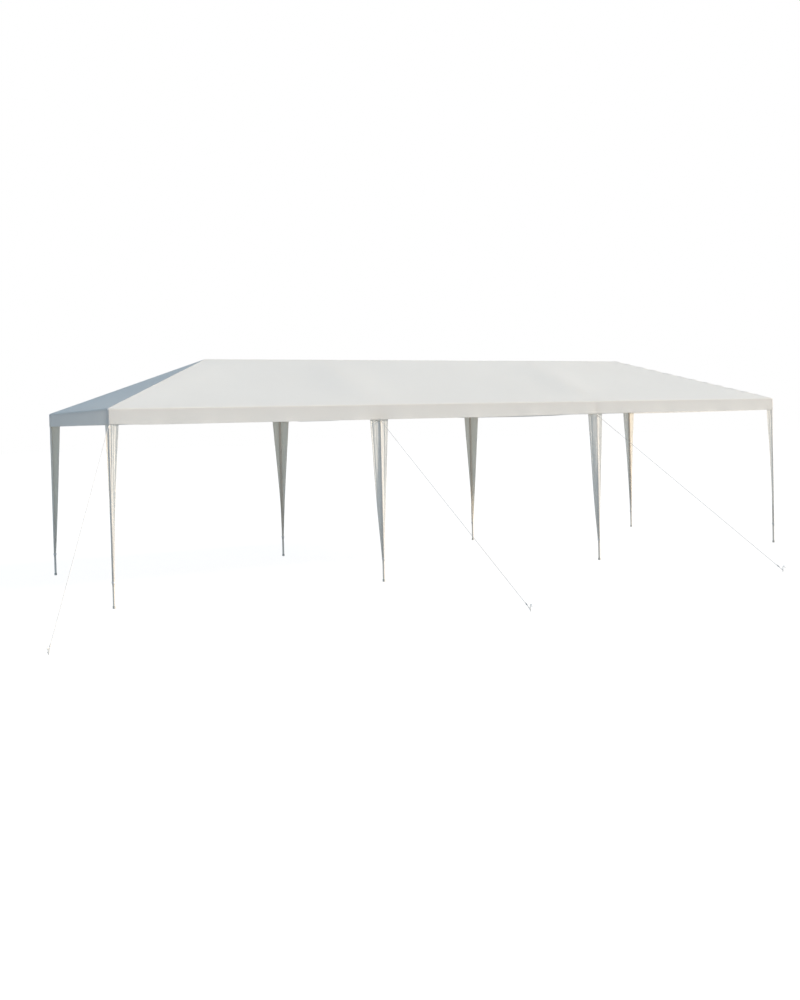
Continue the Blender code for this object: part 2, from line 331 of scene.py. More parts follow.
# %% Helpers for cloth pieces
def new_piece(name, points, faces, material, uv=None):
    """A mesh object at the origin, with a UV map in metres if one is given for each corner."""
    mesh = bpy.data.meshes.new(name)
    mesh.from_pydata(points, [], faces)
    mesh.materials.append(material)
    if uv:
        layer = mesh.uv_layers.new(name="cloth")
        flat = [number for corner in uv for number in corner]
        layer.data.foreach_set("uv", flat)
    mesh.shade_smooth()
    return add_object(name, mesh)


def wall(a, b, sides):
    """Faces between two rings of points that start at a and at b."""
    faces = []
    for c in range(sides):
        after = (c + 1) % sides
        faces.append((a + c, a + after, b + after, b + c))
    return faces


def thicken(piece, thickness):
    """Gives a sheet its thickness on the inner side, as plain mesh."""
    skin = piece.modifiers.new("thickness", "SOLIDIFY")
    skin.thickness = thickness
    skin.offset = -1
    skin.use_even_offset = True
    return baked(piece)


def baked(piece):
    """Turns what the modifiers make into the piece's own mesh and removes them."""
    graph = bpy.context.evaluated_depsgraph_get()
    made = bpy.data.meshes.new_from_object(piece.evaluated_get(graph))
    piece.modifiers.clear()
    old = piece.data
    piece.data = made
    if isinstance(old, bpy.types.Mesh):
        bpy.data.meshes.remove(old)
    return piece


def triangles(piece):
    """How many triangles a mesh piece has."""
    return sum(len(face.vertices) - 2 for face in piece.data.polygons)


def ease(t):
    """0 below 0, 1 above 1, and a smooth rise between."""
    t = min(max(t, 0.0), 1.0)
    return t * t * (3 - 2 * t)


def bell(distance, reach):
    """1 on a line, falling smoothly to 0 well away from it."""
    return math.exp(-((distance / reach) ** 2))


def clear_of(distance, reach):
    """0 on a line that holds the cloth, rising to 1 well away from it."""
    return 1 - bell(distance, reach)


# %% [markdown]
# ## The cover
# The real cover is one sheet: four slopes sewn along the hips and the ridge, with a valance sewn
# on all round. Nothing on a taut roof moves far, so its sag is worked out, not simulated: the
# sheet dips where it is clear of the eaves, the ridge, the hips and the rafters, and its hip seams
# pucker towards the right end. The corners of a grid of square cells lie exactly on the 45 degree
# hips, so the creases stay clean.

# %% Shape of the roof
CELLS = 48
CELL = HALF_WIDTH / CELLS
COLUMNS = round(COVER_LENGTH / CELL)
ROWS = 2 * CELLS
COVER_INSET = 0.001
SHEET_THICKNESS = 0.0009
SAG = 0.016
HOLD_REACH = 0.34
PUCKER = 0.0078
PUCKER_STEP = 0.17
PUCKER_REACH = 0.075


def roof_height(x, y):
    """Height of the cover's outer face over a point in plan."""
    from_end = min(x - COVER_LEFT, COVER_RIGHT - x)
    from_side = min(y - COVER_FRONT, COVER_BACK - y)
    run = min(from_end, from_side)
    hip = abs(from_end - from_side) / math.sqrt(2)
    sag = SAG * clear_of(run, HOLD_REACH) * clear_of(hip, HOLD_REACH)
    if from_side < from_end:
        sag *= clear_of(HALF_WIDTH - from_side, HOLD_REACH)
        for line in LEG_X[1:3]:
            sag *= clear_of(x - line, HOLD_REACH)
    end_shape = bell(hip, PUCKER_REACH) * clear_of(run, 0.12)
    along = (from_end + from_side) / math.sqrt(2)
    wave = math.sin(2 * math.pi * along / PUCKER_STEP + 3 * noise.noise(Vector((x, y, 3))))
    to_right = ease((x - COVER_LEFT) / COVER_LENGTH * 2 - 0.6)
    pucker = PUCKER * (0.5 + 0.5 * wave) * end_shape * to_right
    if from_end > HALF_WIDTH:
        pucker *= bell(from_end - HALF_WIDTH, 0.1)
    soft = 0.0022 * noise.noise(Vector((x * 1.7, y * 1.7, 0.5))) * clear_of(run, 0.2)
    lowered = COVER_INSET * SLANT
    return EAVE_HEIGHT + SLOPE * run - lowered - sag + pucker + soft


print("cells", COLUMNS, "by", ROWS, "of", round(CELL * 1000, 2), "mm")

# %% [markdown]
# The edge is built as rings that go round the cover: a doubled hem at the bottom, a gently waving
# valance, and a small rounded fold over the eave tubes, whose last ring is the edge of the roof's
# grid. At each corner the rings turn round the corner post.

# %% Rings of the valance and the fold
FOLD_RADIUS = 0.012
FOLD_STEPS = 4
CORNER_RADIUS = 0.0173
HEM_WIDTH = 0.024
HEM_PROUD = 0.0009
WAVES = ((0.83, 0.0046, 0.4), (0.47, 0.0030, 2.1), (0.29, 0.0016, 4.4))

turn_angle = math.pi / 2 - math.atan(SLOPE)
corner_z = EAVE_HEIGHT + SLOPE * COVER_INSET - COVER_INSET * SLANT
tangent = FOLD_RADIUS * math.tan(turn_angle / 2)
fold_start_z = corner_z - tangent
valance_height = fold_start_z - HEM_Z
rises = (0, HEM_WIDTH * 0.5, HEM_WIDTH - 0.0012, HEM_WIDTH, 0.045, 0.068, 0.092, 0.115)
ring_profile = [(COVER_INSET, HEM_Z + rise) for rise in rises]
for step in range(FOLD_STEPS + 1):
    angle = turn_angle * step / FOLD_STEPS
    inset = COVER_INSET + FOLD_RADIUS * (1 - math.cos(angle))
    ring_profile.append((inset, fold_start_z + FOLD_RADIUS * math.sin(angle)))


def outline_points():
    """The grid's edge, round from the front left corner: column, row, side and place on it."""
    front = [(i, 0, "front", i * CELL) for i in range(COLUMNS)]
    right = [(COLUMNS, j, "right", j * CELL) for j in range(ROWS)]
    back = [(i, ROWS, "back", i * CELL) for i in range(COLUMNS, 0, -1)]
    left = [(0, j, "left", j * CELL) for j in range(ROWS, 0, -1)]
    return front + right + back + left


OUTWARD = {"front": -Y, "back": Y, "left": -X, "right": X}
# How far the long hems hang under their straight line, at distances along it.
HEM_STOPS = {
    "front": ((0.0, 0.0), (0.45, 0.0135), (4.2, 0.0135), (6.4, 0.0)),
    "back": (
        (0.0, -0.003), (3.2, -0.003), (3.4, 0.008), (3.8, 0.008), (4.1, -0.002), (5.7, -0.001),
        (6.1, 0.009), (7.1, 0.012), (7.6, 0.006), (8.0, -0.006), (COVER_LENGTH, -0.009),
    ),
}
END_HEM_DROP = 0.004


def between(stops, place):
    """A smooth value between the two stops on either side of a place."""
    for (start, low), (end, high) in zip(stops, stops[1:]):
        if place <= end:
            return low + (high - low) * ease((place - start) / (end - start))
    return stops[-1][1]


def hem_drop(side, along):
    """How far the hem hangs under its straight line."""
    if side in HEM_STOPS:
        return between(HEM_STOPS[side], along)
    return END_HEM_DROP * math.sin(math.pi * along / COVER_WIDTH)


def valance_wave(side, along):
    """How far the hem stands out from its straight line."""
    length = COVER_LENGTH if side in SIDES else COVER_WIDTH
    free = clear_of(along, 0.16) * clear_of(length - along, 0.16)
    if side in SIDES:
        for x in LEG_X[1:3]:
            free *= 0.25 + 0.75 * clear_of(along - (x - COVER_LEFT), 0.10)
    seed = 10 * ("front", "right", "back", "left").index(side)
    total = 0.0
    for length, height, phase in WAVES:
        shift = 1.5 * noise.noise(Vector((along * 0.6, seed, phase)))
        angle = 2 * math.pi * along / length + phase + shift
        total += height * (0.5 + 0.5 * math.sin(angle))
    return total * free


def ring_point(i, j, side, along, inset, z):
    """A point of one ring, with the corners rounded and the valance's waves added."""
    at_corner = i in (0, COLUMNS) and j in (0, ROWS)
    turn_in = CORNER_RADIUS * (1 - math.sqrt(0.5)) if at_corner else 0
    insets = {0: inset + turn_in, 1: inset + CORNER_RADIUS}
    sideways = []
    for low, high, last, here in (
        (COVER_LEFT, COVER_RIGHT, COLUMNS, i),
        (COVER_FRONT, COVER_BACK, ROWS, j),
    ):
        if here in insets:
            sideways.append(low + insets[here])
        elif last - here in insets:
            sideways.append(high - insets[last - here])
        else:
            sideways.append(low + here * CELL)
    hang = min(max((fold_start_z - z) / valance_height, 0.0), 1.0)
    point = Vector((*sideways, z - hem_drop(side, along) * hang))
    out = 0.0 if at_corner else valance_wave(side, along) * hang ** 1.4
    if z < HEM_Z + HEM_WIDTH - 0.0006:
        out += HEM_PROUD
    if at_corner:
        diagonal = Vector((1 if i else -1, 1 if j else -1, 0))
        return point + diagonal * out * math.sqrt(0.5)
    return point + OUTWARD[side] * out


print("rings", len(ring_profile), "fold from", round(fold_start_z, 4))


# %% Build the cover
def build_cover():
    """One mesh: the roof's grid inside the last ring, and the rings below it."""
    outline = outline_points()
    count = len(outline)
    points = [ring_point(*place, *ring) for ring in ring_profile for place in outline]
    last_ring = len(points) - count
    grid = {(i, j): last_ring + number for number, (i, j, *_) in enumerate(outline)}
    for i in range(1, COLUMNS):
        for j in range(1, ROWS):
            x, y = COVER_LEFT + i * CELL, COVER_FRONT + j * CELL
            grid[i, j] = len(points)
            points.append(Vector((x, y, roof_height(x, y))))

    faces, uv = [], []
    for ring in range(len(ring_profile) - 1):
        faces.extend(wall(ring * count, (ring + 1) * count, count))
        for here in range(count):
            for step, row in ((here, 0), (here + 1, 0), (here + 1, 1), (here, 1)):
                uv.append((step * CELL, ring_profile[ring + row][1] - HEM_Z))

    for i in range(COLUMNS):
        for j in range(ROWS):
            square = [(i, j), (i + 1, j), (i + 1, j + 1), (i, j + 1)]
            middle_i, middle_j = i + 0.5, j + 0.5
            from_end = min(middle_i, COLUMNS - middle_i)
            from_side = min(middle_j, ROWS - middle_j)
            pieces = [square]
            if from_end == from_side:
                first = int((middle_i < COLUMNS / 2) != (middle_j < ROWS / 2))
                a, b, c, d = square[first:] + square[:first]
                pieces = [[a, b, c], [a, c, d]]
            for piece in pieces:
                faces.append([grid[corner] for corner in piece])
                mid_i, mid_j = [sum(numbers) / len(piece) for numbers in zip(*piece)]
                on_end = min(mid_i, COLUMNS - mid_i) < min(mid_j, ROWS - mid_j)
                for i_here, j_here in piece:
                    along, rise = (j_here, i_here) if on_end else (i_here, j_here)
                    uv.append((along * CELL, rise * CELL * SLANT))
    return points, faces, uv


cover_points, cover_faces, cover_uv = build_cover()
cover = new_piece("cover", cover_points, cover_faces, cover_finish, cover_uv)
thicken(cover, SHEET_THICKNESS)
cover.data.set_sharp_from_angle(angle=math.radians(22))

# %% [markdown]
# ## Stitches, rope and rod with Geometry Nodes
# A stitch repeats thousands of times along a seam, a rope is three strands wound round one path,
# and a peg is one bent rod. All follow a line, so each is one Geometry Nodes tree with named
# sizes: the path comes in as loose edges, and plain mesh comes out.


# %% A small kit for Geometry Nodes
class Tree:
    """A Geometry Nodes tree that takes a path and named numbers and gives mesh."""

    def __init__(self, name, sizes):
        self.group = bpy.data.node_groups.new(name, "GeometryNodeTree")
        self.socket("Geometry", "Geometry")
        for label, value in sizes.items():
            self.socket(label, "Float").default_value = value
        self.socket("Material", "Material")
        self.socket("Geometry", "Geometry", "OUTPUT")
        self.start = self.group.nodes.new("NodeGroupInput")
        self.finish = self.group.nodes.new("NodeGroupOutput")

    def socket(self, label, kind, way="INPUT"):
        """A new input or output of the tree."""
        kind = f"NodeSocket{kind}"
        return self.group.interface.new_socket(label, in_out=way, socket_type=kind)

    def given(self, label):
        """The socket of a named input."""
        return self.start.outputs[label]

    def add(self, kind, settings=None, output=0, **inputs):
        """A new node. Its inputs are by name, or by number as in_0."""
        made = self.group.nodes.new(kind)
        for name, value in (settings or {}).items():
            setattr(made, name, value)
        for label, value in inputs.items():
            number = label.startswith("in_")
            socket = made.inputs[int(label[3:]) if number else label.replace("_", " ")]
            for one in value if isinstance(value, list) else [value]:
                if isinstance(one, bpy.types.NodeSocket):
                    self.group.links.new(one, socket)
                else:
                    socket.default_value = one
        return made.outputs[output]

    def math(self, operation, a, b):
        """One Math node."""
        return self.add("ShaderNodeMath", {"operation": operation}, in_0=a, in_1=b)

    def vector(self, operation, **inputs):
        """One Vector Math node."""
        return self.add("ShaderNodeVectorMath", {"operation": operation}, **inputs)

    def path(self, step=None):
        """The path that comes in, as a curve, with points at every step of a named size."""
        curve = self.add("GeometryNodeMeshToCurve", Mesh=self.given("Geometry"))
        if step is None:
            return curve
        evenly = {"mode": "LENGTH"}
        return self.add("GeometryNodeResampleCurve", evenly, Curve=curve, Length=self.given(step))

    def sweep(self, curve, radius, sides):
        """A round bar along a curve. radius is the name of a size."""
        section = self.add(
            "GeometryNodeCurvePrimitiveCircle", Resolution=sides, Radius=self.given(radius)
        )
        return self.add(
            "GeometryNodeCurveToMesh", Curve=curve, Profile_Curve=section, Fill_Caps=True
        )

    def end(self, geometry):
        """Makes instances real, gives them the material and ends the tree."""
        real = self.add("GeometryNodeRealizeInstances", Geometry=geometry)
        paint = self.given("Material")
        painted = self.add("GeometryNodeSetMaterial", Geometry=real, Material=paint)
        self.group.links.new(painted, self.finish.inputs[0])

    def run(self, name, paths, material, **sizes):
        """Runs the tree on paths, each a list of points, and returns the piece."""
        points, edges = [], []
        for path in paths:
            start = len(points)
            points.extend(path)
            edges.extend((start + k, start + k + 1) for k in range(len(path) - 1))
        mesh = bpy.data.meshes.new(name)
        mesh.from_pydata(points, edges, [])
        piece = add_object(name, mesh)
        modifier = piece.modifiers.new("nodes", "NODES")
        modifier.node_group = self.group
        given = {**sizes, "Material": material}
        for item in self.group.interface.items_tree:
            if item.in_out == "INPUT" and item.name in given:
                modifier[item.identifier] = given[item.name]
        return baked(piece)


# %% Stitch tree
stitch_tree = Tree("stitch_row", {"Spacing": 0.012, "Length": 0.007, "Thread": 0.0011})
seam = stitch_tree.path("Spacing")
bead = stitch_tree.add("GeometryNodeMeshUVSphere", Segments=4, Rings=3, Radius=0.5)
stitch_size = stitch_tree.add(
    "ShaderNodeCombineXYZ",
    X=stitch_tree.given("Thread"),
    Y=stitch_tree.given("Thread"),
    Z=stitch_tree.given("Length"),
)
bead = stitch_tree.add("GeometryNodeTransform", Geometry=bead, Scale=stitch_size)
heading = stitch_tree.add("GeometryNodeInputTangent")
facing = stitch_tree.add("FunctionNodeAlignEulerToVector", {"axis": "Z"}, Vector=heading)
row = stitch_tree.add("GeometryNodeInstanceOnPoints", Points=seam, Instance=bead, Rotation=facing)
stitch_tree.end(row)
print("tree:", stitch_tree.group.name)

# %% Rope tree and rod tree
rope_tree = Tree("laid_rope", {"Strand": 0.00116, "Offset": 0.00134, "Pitch": 0.024, "Step": 0.003})
path = rope_tree.path("Step")
run_along = rope_tree.add("GeometryNodeSplineParameter", output="Length")
side_way = rope_tree.add("GeometryNodeInputNormal")
ahead = rope_tree.add("GeometryNodeInputTangent")
across = rope_tree.vector("CROSS_PRODUCT", in_0=side_way, in_1=ahead)
full_turns = rope_tree.math("DIVIDE", run_along, rope_tree.given("Pitch"))
angle_along = rope_tree.math("MULTIPLY", full_turns, 2 * math.pi)
strands = []
for strand in range(3):
    angle = rope_tree.math("ADD", angle_along, 2 * math.pi * strand / 3)
    moved = []
    for direction, operation in ((side_way, "COSINE"), (across, "SINE")):
        share = rope_tree.math(operation, angle, 0.0)
        reach = rope_tree.math("MULTIPLY", share, rope_tree.given("Offset"))
        moved.append(rope_tree.vector("SCALE", Vector=direction, Scale=reach))
    offset = rope_tree.vector("ADD", in_0=moved[0], in_1=moved[1])
    wound = rope_tree.add("GeometryNodeSetPosition", Geometry=path, Offset=offset)
    strands.append(rope_tree.sweep(wound, "Strand", 6))
rope_tree.end(rope_tree.add("GeometryNodeJoinGeometry", Geometry=strands))

rod_tree = Tree("bent_rod", {"Radius": 0.004})
rod_tree.end(rod_tree.sweep(rod_tree.path(), "Radius", 16))
print("trees:", rope_tree.group.name, rod_tree.group.name)

# %% [markdown]
# ## Seams and their stitches
# The slopes are joined by flat seams, about 20 mm wide, along the hips and the ridge, and two
# rows of stitches hold each. One row holds the valance at the fold and one holds the hem. The
# seam bands are thin strips that follow the roof's height, a hair proud of it.

# %% Seam bands and stitch rows
SEAM_WIDTH = 0.022
SEAM_PROUD = 0.0008
SEAM_STEP = 0.03
SEAM_START = 0.02


def seam_lines():
    """The hips and the ridge in plan, as start and end points."""
    ends = []
    for x, inward in ((COVER_LEFT, 1), (COVER_RIGHT, -1)):
        for y, back in ((COVER_FRONT, 1), (COVER_BACK, -1)):
            runs = (SEAM_START, HALF_WIDTH)
            ends.append([Vector((x + inward * run, y + back * run)) for run in runs])
    left_hip, right_hip = ends[0], ends[2]
    return ends + [[left_hip[1], right_hip[1]]]


def on_roof(plan, lift):
    """A point on the cover, lifted a little."""
    return Vector((plan.x, plan.y, roof_height(plan.x, plan.y) + lift))


def seam_rows(side_offset, lift):
    """Lines along every seam, to one side of it by side_offset, on the roof."""
    rows = []
    for start, end in seam_lines():
        ahead = (end - start).normalized()
        across = Vector((-ahead.y, ahead.x)) * side_offset
        steps = max(2, round((end - start).length / SEAM_STEP))
        rows.append([on_roof(start.lerp(end, k / steps) + across, lift) for k in range(steps + 1)])
    return rows


def build_seams():
    """Closed thin bands over the seams."""
    half, sunk = SEAM_WIDTH / 2, -0.0004
    section = [(-half, sunk), (-half, SEAM_PROUD), (0, SEAM_PROUD), (half, SEAM_PROUD),
               (half, sunk), (0, sunk)]
    lines = [seam_rows(offset, lift) for offset, lift in section]
    points, faces, uv = [], [], []
    for seam in zip(*lines):
        start, length = len(points), len(seam[0])
        points.extend(point for ring in zip(*seam) for point in ring)
        for k in range(length - 1):
            faces.extend(wall(start + 6 * k, start + 6 * (k + 1), 6))
            near, far = k * SEAM_STEP, (k + 1) * SEAM_STEP
            for c in range(6):
                here, after = c * 0.01, (c + 1) % 6 * 0.01
                uv.extend([(here, near), (after, near), (after, far), (here, far)])
        last = start + 6 * (length - 1)
        faces.append([start + c for c in range(5, -1, -1)])
        faces.append([last + c for c in range(6)])
        uv.extend([(0, 0)] * 12)
    return points, faces, uv


def closed_piece(name, points, faces, material, uv=None, sharp=30):
    """A piece whose faces close round it. Edges of more than sharp degrees stay crisp."""
    piece = new_piece(name, points, faces, material, uv)
    shape = bmesh.new()
    shape.from_mesh(piece.data)
    bmesh.ops.recalc_face_normals(shape, faces=shape.faces)
    shape.to_mesh(piece.data)
    shape.free()
    if sharp:
        piece.data.set_sharp_from_angle(angle=math.radians(sharp))
    return piece


seam_points, seam_faces, seam_uv = build_seams()
cover_seams = closed_piece("cover_seams", seam_points, seam_faces, cover_finish, seam_uv)


def edge_row(z):
    """A closed stitch line round the valance at one height."""
    line = []
    for i, j, side, along in outline_points():
        point = ring_point(i, j, side, along, COVER_INSET, z)
        line.append(point + OUTWARD[side] * 0.0002)
    return line + line[:1]


thread = Finish("thread")
thread_noise = thread.noise(300.0, 2.0)
thread.surface(
    Base_Color=thread.mix(thread_noise, grey(0.74, 0.02), grey(0.86, 0.02)),
    Roughness=0.6 + 0.2 * thread_noise,
)
seam_stitches = seam_rows(-0.008, SEAM_PROUD) + seam_rows(0.008, SEAM_PROUD)
edge_stitches = [edge_row(HEM_Z + HEM_WIDTH - 0.004), edge_row(fold_start_z - 0.012)]
cover_stitches = stitch_tree.run("cover_stitches", seam_stitches + edge_stitches, thread.made)
print("seams:", triangles(cover_seams), "stitches:", triangles(cover_stitches), "triangles")

# %% [markdown]
# ## Leg skirts
# Each leg wears a tapered skirt of the same sheeting. Its fold wraps the front of the tube and two
# wings flare out from there, widest under the valance and gathered to the tube near the ground.
# At a corner the wings follow the two sides of the tent; on the other legs they sweep back. At
# each height the surface is a walk across the skirt, whose heading follows the tube and then
# eases out. The pleats, the side hem and small creases are added along the normal.

# %% Shape of a skirt
SKIRT_TOP = 1.893
SKIRT_BOTTOM = 0.232
SKIRT_RADIUS = TUBE_RADIUS + 0.0015
SKIRT_THICKNESS = 0.0008
WIDTH_BOTTOM = 0.024
SIDE_HEM = 0.011
HEMMED_WIDTH = 0.03
WALK_STEPS = 240
WING_SAMPLES = 42


def skirt_heights():
    """Heights of the rows: close together at the top, where the cloth is gathered."""
    rows = [SKIRT_TOP - 0.003 * k for k in range(51)]
    start = rows[-1]
    return rows + [start + (SKIRT_BOTTOM - start) * k / 52 for k in range(1, 53)]


def walk_across(start_heading, tightest, settled, ease_length, width):
    """Points and headings from the fold outwards along one wing, in the leg's own plan."""
    step = width / WALK_STEPS
    arc = SKIRT_RADIUS * (tightest - start_heading)
    begin = start_heading - math.pi / 2
    point = Vector((math.cos(begin), math.sin(begin))) * SKIRT_RADIUS
    walked = [(point, start_heading)]
    for number in range(1, WALK_STEPS + 1):
        done = number * step
        if done < arc:
            angle = start_heading + done / SKIRT_RADIUS
        else:
            angle = settled + (tightest - settled) * math.exp(-(done - arc) / ease_length)
        point = point + Vector((math.cos(angle), math.sin(angle))) * step
        walked.append((point, angle))
    return walked


def skirt_point(walked, share):
    """The point and the outward normal at a share of the way across a wing."""
    place = share * WALK_STEPS
    before = min(int(place), WALK_STEPS - 1)
    point_a, angle_a = walked[before]
    point_b, angle_b = walked[before + 1]
    blend = place - before
    angle = angle_a + (angle_b - angle_a) * blend
    return point_a.lerp(point_b, blend), Vector((math.sin(angle), -math.cos(angle)))


def wing_shares(width):
    """Shares of the way across a wing where the mesh has points, closer at the side hem."""
    inner, edge = 0.6, 0.75
    if width > HEMMED_WIDTH:
        inner, edge = 1 - (SIDE_HEM + 0.0012) / width, 1 - SIDE_HEM / width
    shares = [inner * k / WING_SAMPLES for k in range(WING_SAMPLES + 1)]
    return shares + [edge, (edge + 1) / 2, 1.0]


def pleat_depth(pleats, distance, down):
    """How far pleats push the cloth in at a distance from the fold, fading down the skirt."""
    total = sum(depth * bell(distance - place, spread) for place, spread, depth in pleats)
    return total * (1 - down) ** 0.7


# %% One skirt
def build_skirt(corner, wings, taper, seed, crease=None):
    """A skirt's points, faces and UV map in the leg's own frame, the flat cloth's area and the
    lines of its two hem stitches.
    wings holds, for the right and the left wing, its width at the top, its tightest and settled
    headings, the length over which it eases out, and its pleats."""
    heights = skirt_heights()
    rows, lengths = [], []
    stitches = {1: [], -1: []}
    for z in heights:
        down = (SKIRT_TOP - z) / (SKIRT_TOP - SKIRT_BOTTOM)
        row = []
        both = 0.0
        for side, (width_top, tight, settled, ease_length, pleats) in zip((1, -1), wings):
            width = WIDTH_BOTTOM + (width_top - WIDTH_BOTTOM) * (1 - down) ** taper
            both += width
            start = -math.pi / 4 if corner else 0.0
            tightest = tight + (math.radians(85) - tight) * down ** 2 * (0.4 if corner else 1.0)
            heading_out = settled + (math.radians(30) - settled) * down ** 2
            walked = walk_across(start, tightest, heading_out, ease_length, width)
            points = []
            for share in wing_shares(width):
                point, normal = skirt_point(walked, share)
                distance = share * width_top
                from_fold = ease((share * width - 0.010) / 0.015)
                out = -pleat_depth(pleats, distance, down) * from_fold
                wrinkle = noise.noise(Vector((share * 3 + seed, z * 2.6, side + seed)))
                out += 0.0035 * wrinkle * from_fold * (0.35 + 0.65 * (1 - down))
                fine = noise.noise(Vector((share * 5 + seed, z * 9, side + 7.7)))
                out += 0.0010 * fine * from_fold
                if crease and side == crease[0]:
                    peak_z, peak_share, slope, depth = crease[1:]
                    from_peak = math.hypot(share - peak_share, 0.05)
                    away = z - (peak_z - slope * from_peak)
                    to_edge = 1 - 0.6 * ease((share - 0.75) / 0.25)
                    out -= depth * bell(away, 0.007) * from_fold * to_edge
                    out += depth * 0.8 * bell(away - 0.016, 0.011) * from_fold * to_edge
                if share > 1 - SIDE_HEM / width - 0.001 and width > HEMMED_WIDTH:
                    out += 0.0008
                if side < 0:
                    point = Vector((point.y, point.x) if corner else (-point.x, point.y))
                    normal = Vector((normal.y, normal.x) if corner else (-normal.x, normal.y))
                points.append((point + normal * out, side * share * width))
            row.append(points)
            hem_start, hem_middle = points[-3][0], points[-2][0]
            stitched = hem_start.lerp(hem_middle, 0.4) + normal * 0.0002
            if width > HEMMED_WIDTH:
                stitches[side].append(Vector((stitched.x, stitched.y, z)))
        joined = row[1][:0:-1] + row[0]
        rows.append([(Vector((p.x, p.y, z)), u) for p, u in joined])
        lengths.append(both)
    count = len(rows[0])
    points = [p for row in rows for p, u in row]
    faces, uv = [], []
    for r in range(len(rows) - 1):
        for c in range(count - 1):
            square = ((r, c), (r + 1, c), (r + 1, c + 1), (r, c + 1))
            faces.append([a * count + b for a, b in square])
            uv.extend((rows[a][b][1], heights[a]) for a, b in square)
    area = sum(
        (a + b) / 2 * (top - low)
        for a, b, top, low in zip(lengths, lengths[1:], heights, heights[1:])
    )
    return points, faces, uv, area, list(stitches.values())


def placed(points, line, side, turn):
    """Points of a skirt turned about the leg and moved to it."""
    turned = Matrix.Rotation(turn, 3, "Z")
    return [turned @ point + foot_of(side, line) for point in points]


# %% [markdown]
# The skirts differ as they do in the picture: the front left one is pleated three times, the
# second has a pinched crease under the valance, and the others hang plainer. Those at the back
# are of the same cut with their own small wrinkles. The three that hang in the roof's shade wear
# a darker, warmer copy of the sheeting that lets more yellow light through: painted shade.

# %% All eight skirts
QUARTER = math.pi / 2
DEG = math.radians(1)
CORNER_TURN = {("front", 1): 0, ("front", 4): 1, ("back", 4): 2, ("back", 1): 3}


def wing(width, tight, settled, ease_length, *pleats):
    """How one wing is cut and hung. Each pleat is its place, its spread and its depth."""
    return width, tight * DEG, settled * DEG, ease_length, pleats


PLAIN = wing(0.134, 48, 6, 0.045)
SOFT = wing(0.112, 6, 0, 0.020, (0.045, 0.012, 0.004), (0.085, 0.010, 0.003))
WRAPPED = wing(0.124, 6, 0, 0.020)
PLEATED = wing(
    0.114, 6, 5, 0.020, (0.028, 0.007, 0.003), (0.058, 0.007, 0.003), (0.084, 0.006, 0.003)
)
SKIRTS = {
    ("front", 1): (PLEATED, SOFT, 1.5),
    ("front", 2): (
        wing(0.104, 34, 1, 0.012, (0.050, 0.008, 0.003)),
        wing(0.134, 36, -5, 0.020, (0.066, 0.009, 0.002), (0.108, 0.007, 0.005)),
        0.95,
    ),
    ("front", 3): (
        wing(0.088, 34, 2, 0.012, (0.048, 0.007, 0.004)),
        wing(0.128, 2, 20, 0.060, (0.090, 0.008, 0.006)),
        0.88,
    ),
    ("front", 4): (SOFT, SOFT, 1.5),
    ("back", 1): (SOFT, WRAPPED, 0.9),
    ("back", 2): (PLAIN, PLAIN, 1.25),
    ("back", 3): (PLAIN, PLAIN, 1.05),
    ("back", 4): (WRAPPED, SOFT, 1.2),
}
CREASES = {("front", 2): (-1, 1.822, 0.4, 0.085, 0.009)}
skirts, skirt_areas, skirt_hems = {}, {}, []
for number, ((side, line), (*wings, taper)) in enumerate(SKIRTS.items()):
    at_corner = (side, line) in CORNER_TURN
    turn = QUARTER * CORNER_TURN.get((side, line), 2 if side == "back" else 0)
    crease = CREASES.get((side, line))
    points, faces, uv, area, hems = build_skirt(at_corner, wings, taper, 3.1 * number, crease)
    name = f"skirt_{side}_{line}"
    # The back skirts in the roof's shade wear the darker, warmer copy (painted shade); the sunlit
    # back right one keeps the front copy.
    finish = painted_shade_drape if side == "back" and line < 4 else front_drape
    skirt = new_piece(name, placed(points, line, side, turn), faces, finish, uv)
    thicken(skirt, SKIRT_THICKNESS)
    skirt.data.set_sharp_from_angle(angle=math.radians(60))
    skirts[side, line] = skirt
    skirt_areas[side, line] = area
    skirt_hems.extend(placed(hem, line, side, turn) for hem in hems)
print("skirts:", sum(triangles(skirt) for skirt in skirts.values()), "triangles,",
      "flat area", [round(area, 3) for area in skirt_areas.values()])

# %% [markdown]
# ## Finishes for the steel
# The tubes and sockets are powder coated: satin, with a very fine ripple. A leg's foot is a grey
# moulded cap, and a little way up from the ground the steel is painted lighter and warmer, standing
# in for the low sun on it: painted light.


# %% Powder coat and zinc
CAP_HEIGHT = 0.0282
CAP_COLOUR = (0.58, 0.56, 0.52, 1)
PAINTED_SUN_COLOUR = (0.92, 0.88, 0.80, 1)


def powder_coat(name, tone, foot=False):
    """Satin coating with fine ripple. With foot, the lowest part is a moulded cap."""
    finish = Finish(name)
    broad = finish.noise(6.0, 4.0)
    colour = finish.mix(broad, grey(tone * 1.03, 0.115), grey(tone * 0.95, 0.12))
    # Painted light: near the ground the steel turns lighter and warmer, standing in for low sun on
    # it.
    colour = finish.mix(finish.near_ground(0.55, 0.08, 0.55), colour, PAINTED_SUN_COLOUR)
    rough = 0.32 + 0.12 * broad
    if foot:
        cap = finish.axis(finish.place, 2).math("LESS_THAN", CAP_HEIGHT)
        colour = finish.mix(cap, colour, CAP_COLOUR)
        rough = rough + 0.25 * cap
    peel = finish.bump(finish.noise(420.0, 2.0), 0.12, 0.0004)
    finish.surface(Base_Color=colour, Roughness=rough, Specular_IOR_Level=0.5, Normal=peel)
    return finish.made


tube_finish = powder_coat("tube_steel", 0.64)
leg_finish = powder_coat("leg_steel", 0.55, foot=True)
socket_finish = powder_coat("connector_steel", 0.58)

